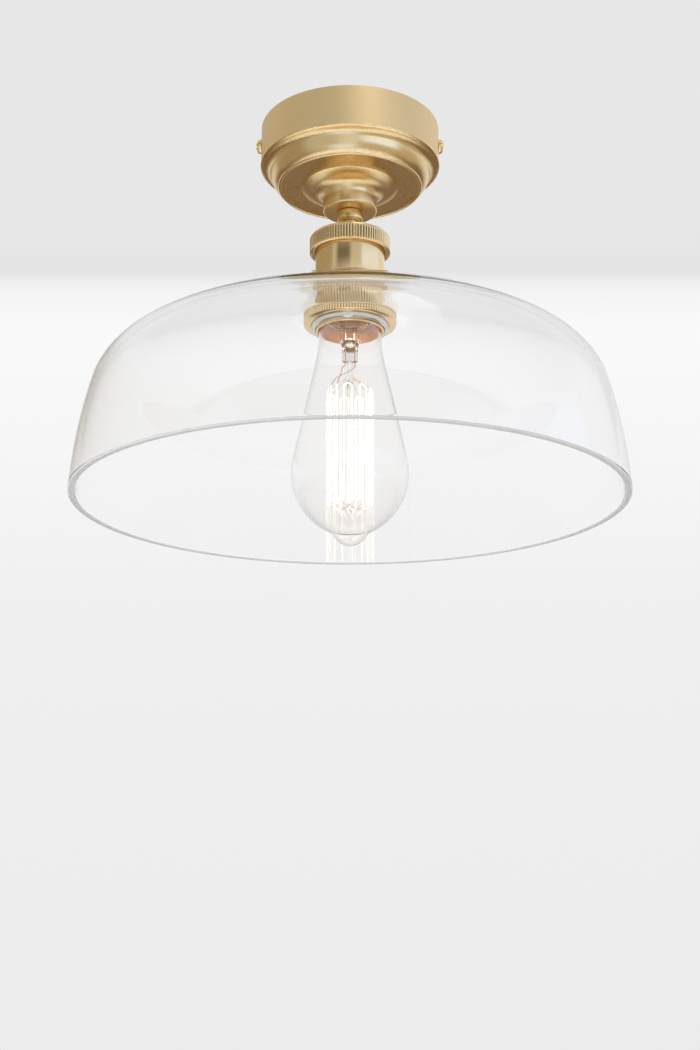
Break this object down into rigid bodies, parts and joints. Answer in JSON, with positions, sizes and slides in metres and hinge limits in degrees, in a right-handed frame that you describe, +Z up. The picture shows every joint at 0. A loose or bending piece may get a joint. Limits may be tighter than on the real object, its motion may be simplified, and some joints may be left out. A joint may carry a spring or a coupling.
{
  "type": "ceiling light",
  "caption": "Semi-flush ceiling light: round brass rose on a ceiling bracket, screw lampholder, clear glass dome held by a knurled ring, long filament lamp.",
  "frame": {"origin": "middle of the ceiling screws, in the ceiling plane, on the light's vertical axis", "axes": "+Z up into the ceiling, X along the bracket through the side screws, -Y towards the viewer"},
  "size_m": [0.3, 0.2998, 0.2449],
  "materials": {
    "satin_brass": "satin, fine brushed lines round the axis",
    "bright_brass": "polished",
    "zinc_steel": "zinc plated",
    "bright_nickel": "polished",
    "clear_glass": "clear, polished",
    "lamp_clear_glass": "clear, polished",
    "lamp_shell": "rolled, bright",
    "solder": "soldered, satin",
    "black_vitrite": "glossy black",
    "porcelain": "white, semi-gloss",
    "black_rubber": "matte",
    "clear_silicone": "milky, satin",
    "white_plastic": "moulded, satin",
    "brown_sleeve": "satin",
    "blue_sleeve": "satin",
    "earth_sleeve": "green with yellow stripes, satin",
    "lead_metal": "drawn wire",
    "filament_metal": "glowing when lit"
  },
  "bodies": {
    "fitting": {"ceiling_bracket": "zinc_steel", "cable_grommet": "black_rubber", "rose_cover": "satin_brass", "rose_boss": "satin_brass", "nipple_collar": "satin_brass", "nipple": "bright_brass", "nipple_nut": "zinc_steel", "lock_washer": "zinc_steel", "earth_tag": "bright_brass", "terminal_block": "white_plastic", "block_inserts": "bright_brass", "block_screws": "zinc_steel", "block_fixing": "zinc_steel", "live_wire": "brown_sleeve", "neutral_wire": "blue_sleeve", "earth_wire": "earth_sleeve", "lampholder_cap": "satin_brass", "core_carrier": "zinc_steel", "carrier_screws": "zinc_steel", "lampholder_barrel": "satin_brass", "porcelain_core": "porcelain", "holder_terminals": "bright_brass", "terminal_screws": "zinc_steel", "screw_shell": "bright_brass", "spring_contact": "bright_brass", "sleeve_ring": "satin_brass"},
    "shade": {"glass_dome": "clear_glass", "shade_washer": "clear_silicone"},
    "shade_ring": {"clamp_ring": "satin_brass", "ring_liner": "bright_nickel"},
    "lamp_carriage": {"lamp_contact": "solder"},
    "lamp": {"lamp_insulator": "black_vitrite", "lamp_cap": "lamp_shell", "lamp_glass": "lamp_clear_glass", "lamp_stem": "lamp_clear_glass", "lamp_leads": "lead_metal", "lamp_supports": "lead_metal", "lamp_filament": "filament_metal"},
    "left_washer": {"side_washer_left": "bright_brass"},
    "left_screw": {"side_screw_left": "bright_brass"},
    "right_washer": {"side_washer_right": "bright_brass"},
    "right_screw": {"side_screw_right": "bright_brass"}
  },
  "joints": [
    {"name": "shade_drop", "type": "slide", "parent": "fitting", "child": "shade", "axis": [0, 0, -1], "range_m": [0, 0.009]},
    {"name": "shade_ring_turn", "type": "hinge", "parent": "shade", "child": "shade_ring", "pos_m": [0, 0, -0.1167], "axis": [0, 0, -1], "range_deg": [0, 2160.5]},
    {"name": "lamp_drop", "type": "slide", "parent": "fitting", "child": "lamp_carriage", "axis": [0, 0, -1], "range_m": [0, 0.01452]},
    {"name": "lamp_turn", "type": "hinge", "parent": "lamp_carriage", "child": "lamp", "pos_m": [0, 0, -0.107], "axis": [0, 0, -1], "range_deg": [0, 1440.5]},
    {"name": "left_screw_out", "type": "slide", "parent": "fitting", "child": "left_washer", "axis": [-1, 0, 0], "range_m": [0, 0.0063]},
    {"name": "left_screw_turn", "type": "hinge", "parent": "left_washer", "child": "left_screw", "pos_m": [-0.0515, 0, -0.0094], "axis": [-1, 0, 0], "range_deg": [0, 3240.5]},
    {"name": "right_screw_out", "type": "slide", "parent": "fitting", "child": "right_washer", "axis": [1, 0, 0], "range_m": [0, 0.0063]},
    {"name": "right_screw_turn", "type": "hinge", "parent": "right_washer", "child": "right_screw", "pos_m": [0.0515, 0, -0.0094], "axis": [1, 0, 0], "range_deg": [0, 3240.5]}
  ],
  "couplings": [
    {"joint": "shade_ring_turn", "follows": "shade_drop", "rad_per_m": 4188.8},
    {"joint": "lamp_turn", "follows": "lamp_drop", "rad_per_m": 1731.4},
    {"joint": "left_screw_turn", "follows": "left_screw_out", "rad_per_m": 8976},
    {"joint": "right_screw_turn", "follows": "right_screw_out", "rad_per_m": 8976}
  ]
}
